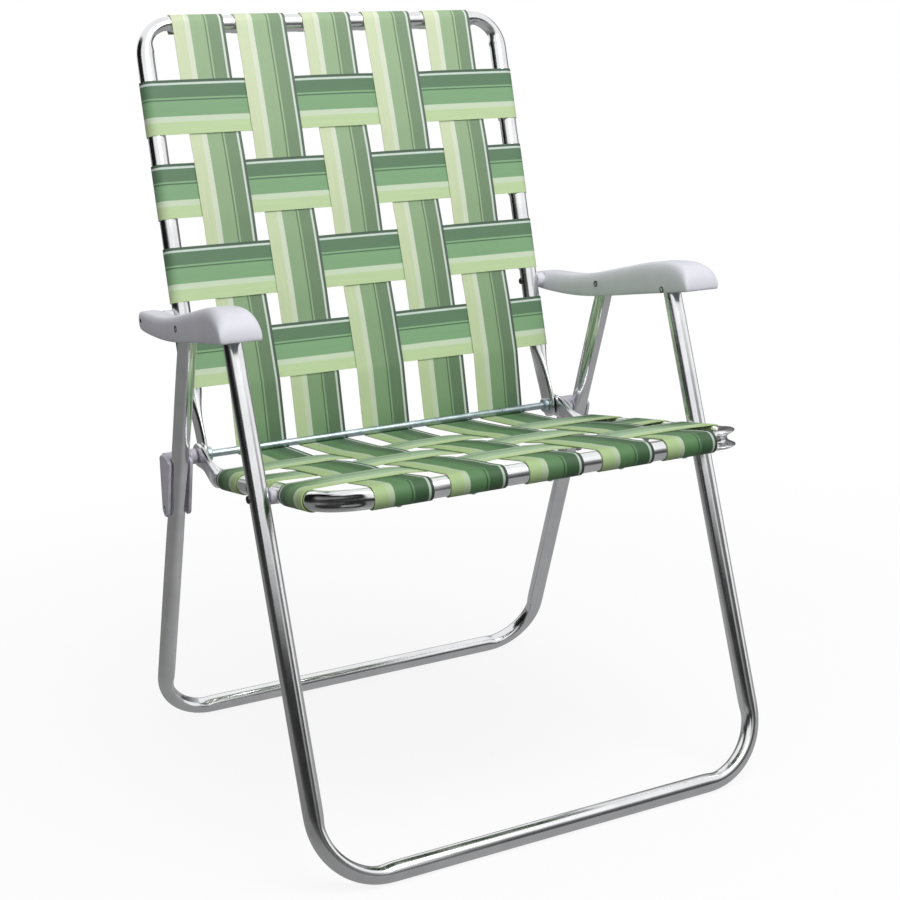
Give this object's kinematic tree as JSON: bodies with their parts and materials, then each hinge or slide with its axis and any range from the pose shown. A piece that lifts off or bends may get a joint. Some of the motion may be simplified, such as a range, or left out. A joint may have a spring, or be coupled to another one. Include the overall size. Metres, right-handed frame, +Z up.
{
  "type": "folding webbed lawn chair",
  "caption": "Folding lawn chair of bent aluminium tube with white armrests and striped green webbing woven over seat and back.",
  "frame": {"origin": "on the floor, midway between the foot bars and between the two sides", "axes": "+Z up, -Y towards the front of the seat, +X towards the sitter's left"},
  "size_m": [0.537, 0.4961, 0.7891],
  "materials": {
    "aluminium_tube": "bright polished tube",
    "zinc_steel": "zinc plated",
    "white_plastic": "moulded, satin",
    "grey_plastic": "moulded, satin",
    "green_webbing": "woven polypropylene with lengthwise stripes"
  },
  "bodies": {
    "back": {"back_frame": "aluminium_tube", "hinge_rod": "zinc_steel", "rod_collar_left": "zinc_steel", "rod_collar_right": "zinc_steel", "rod_bush_left": "grey_plastic", "rod_bush_right": "grey_plastic", "arm_back_rivet_left": "zinc_steel", "arm_back_rivet_right": "zinc_steel", "back_web_lengthwise_1": "green_webbing", "back_web_lengthwise_2": "green_webbing", "back_web_lengthwise_3": "green_webbing", "back_web_lengthwise_4": "green_webbing", "back_web_lengthwise_5": "green_webbing", "back_web_cross_1": "green_webbing", "back_web_cross_2": "green_webbing", "back_web_cross_3": "green_webbing", "back_web_cross_4": "green_webbing", "back_web_screw_1": "zinc_steel", "back_web_screw_2": "zinc_steel", "back_web_screw_3": "zinc_steel", "back_web_screw_4": "zinc_steel", "back_web_screw_5": "zinc_steel"},
    "seat": {"seat_frame": "aluminium_tube", "seat_bolt_left": "zinc_steel", "seat_bolt_right": "zinc_steel", "seat_spacer_left": "grey_plastic", "seat_spacer_right": "grey_plastic", "seat_web_lengthwise_1": "green_webbing", "seat_web_lengthwise_2": "green_webbing", "seat_web_lengthwise_3": "green_webbing", "seat_web_lengthwise_4": "green_webbing", "seat_web_lengthwise_5": "green_webbing", "seat_web_cross_1": "green_webbing", "seat_web_cross_2": "green_webbing", "seat_web_cross_3": "green_webbing", "seat_web_screw_1": "zinc_steel", "seat_web_screw_2": "zinc_steel", "seat_web_screw_3": "zinc_steel", "seat_web_screw_4": "zinc_steel", "seat_web_screw_5": "zinc_steel"},
    "arms": {"armrest_left": "white_plastic", "armrest_right": "white_plastic", "arm_front_rivet_left": "zinc_steel", "arm_front_rivet_right": "zinc_steel", "arm_rear_rivet_left": "zinc_steel", "arm_rear_rivet_right": "zinc_steel"},
    "front_legs": {"front_leg_frame": "aluminium_tube"},
    "rear_legs": {"rear_leg_frame": "aluminium_tube", "link_rivet_left": "zinc_steel", "link_rivet_right": "zinc_steel"},
    "links": {"hinge_link_left": "grey_plastic", "hinge_link_right": "grey_plastic"}
  },
  "joints": [
    {"name": "seat_fold", "type": "hinge", "parent": "back", "child": "seat", "pos_m": [0, 0.117, 0.337], "axis": [-1, 0, 0], "range_deg": [0, 93.15]},
    {"name": "arm_fold", "type": "hinge", "parent": "back", "child": "arms", "pos_m": [0, 0.15755, 0.47898], "axis": [-1, 0, 0], "range_deg": [0, 93.15]},
    {"name": "front_leg_fold", "type": "hinge", "parent": "arms", "child": "front_legs", "pos_m": [0, -0.08885, 0.49098], "axis": [1, 0, 0], "range_deg": [0, 93.15]},
    {"name": "rear_leg_fold", "type": "hinge", "parent": "arms", "child": "rear_legs", "pos_m": [0, 0.03834, 0.48478], "axis": [1, 0, 0], "range_deg": [0, 53.02]},
    {"name": "link_flip", "type": "hinge", "parent": "rear_legs", "child": "links", "pos_m": [0, 0.12304, 0.28366], "axis": [-1, 0, 0], "range_deg": [0, 133.45]}
  ],
  "couplings": [
    {"joint": "arm_fold", "follows": "seat_fold", "ratio": 1},
    {"joint": "front_leg_fold", "follows": "seat_fold", "ratio": 1},
    {"joint": "rear_leg_fold", "follows": "seat_fold", "ratio": 0.56919},
    {"joint": "link_flip", "follows": "seat_fold", "ratio": 1.4326}
  ]
}
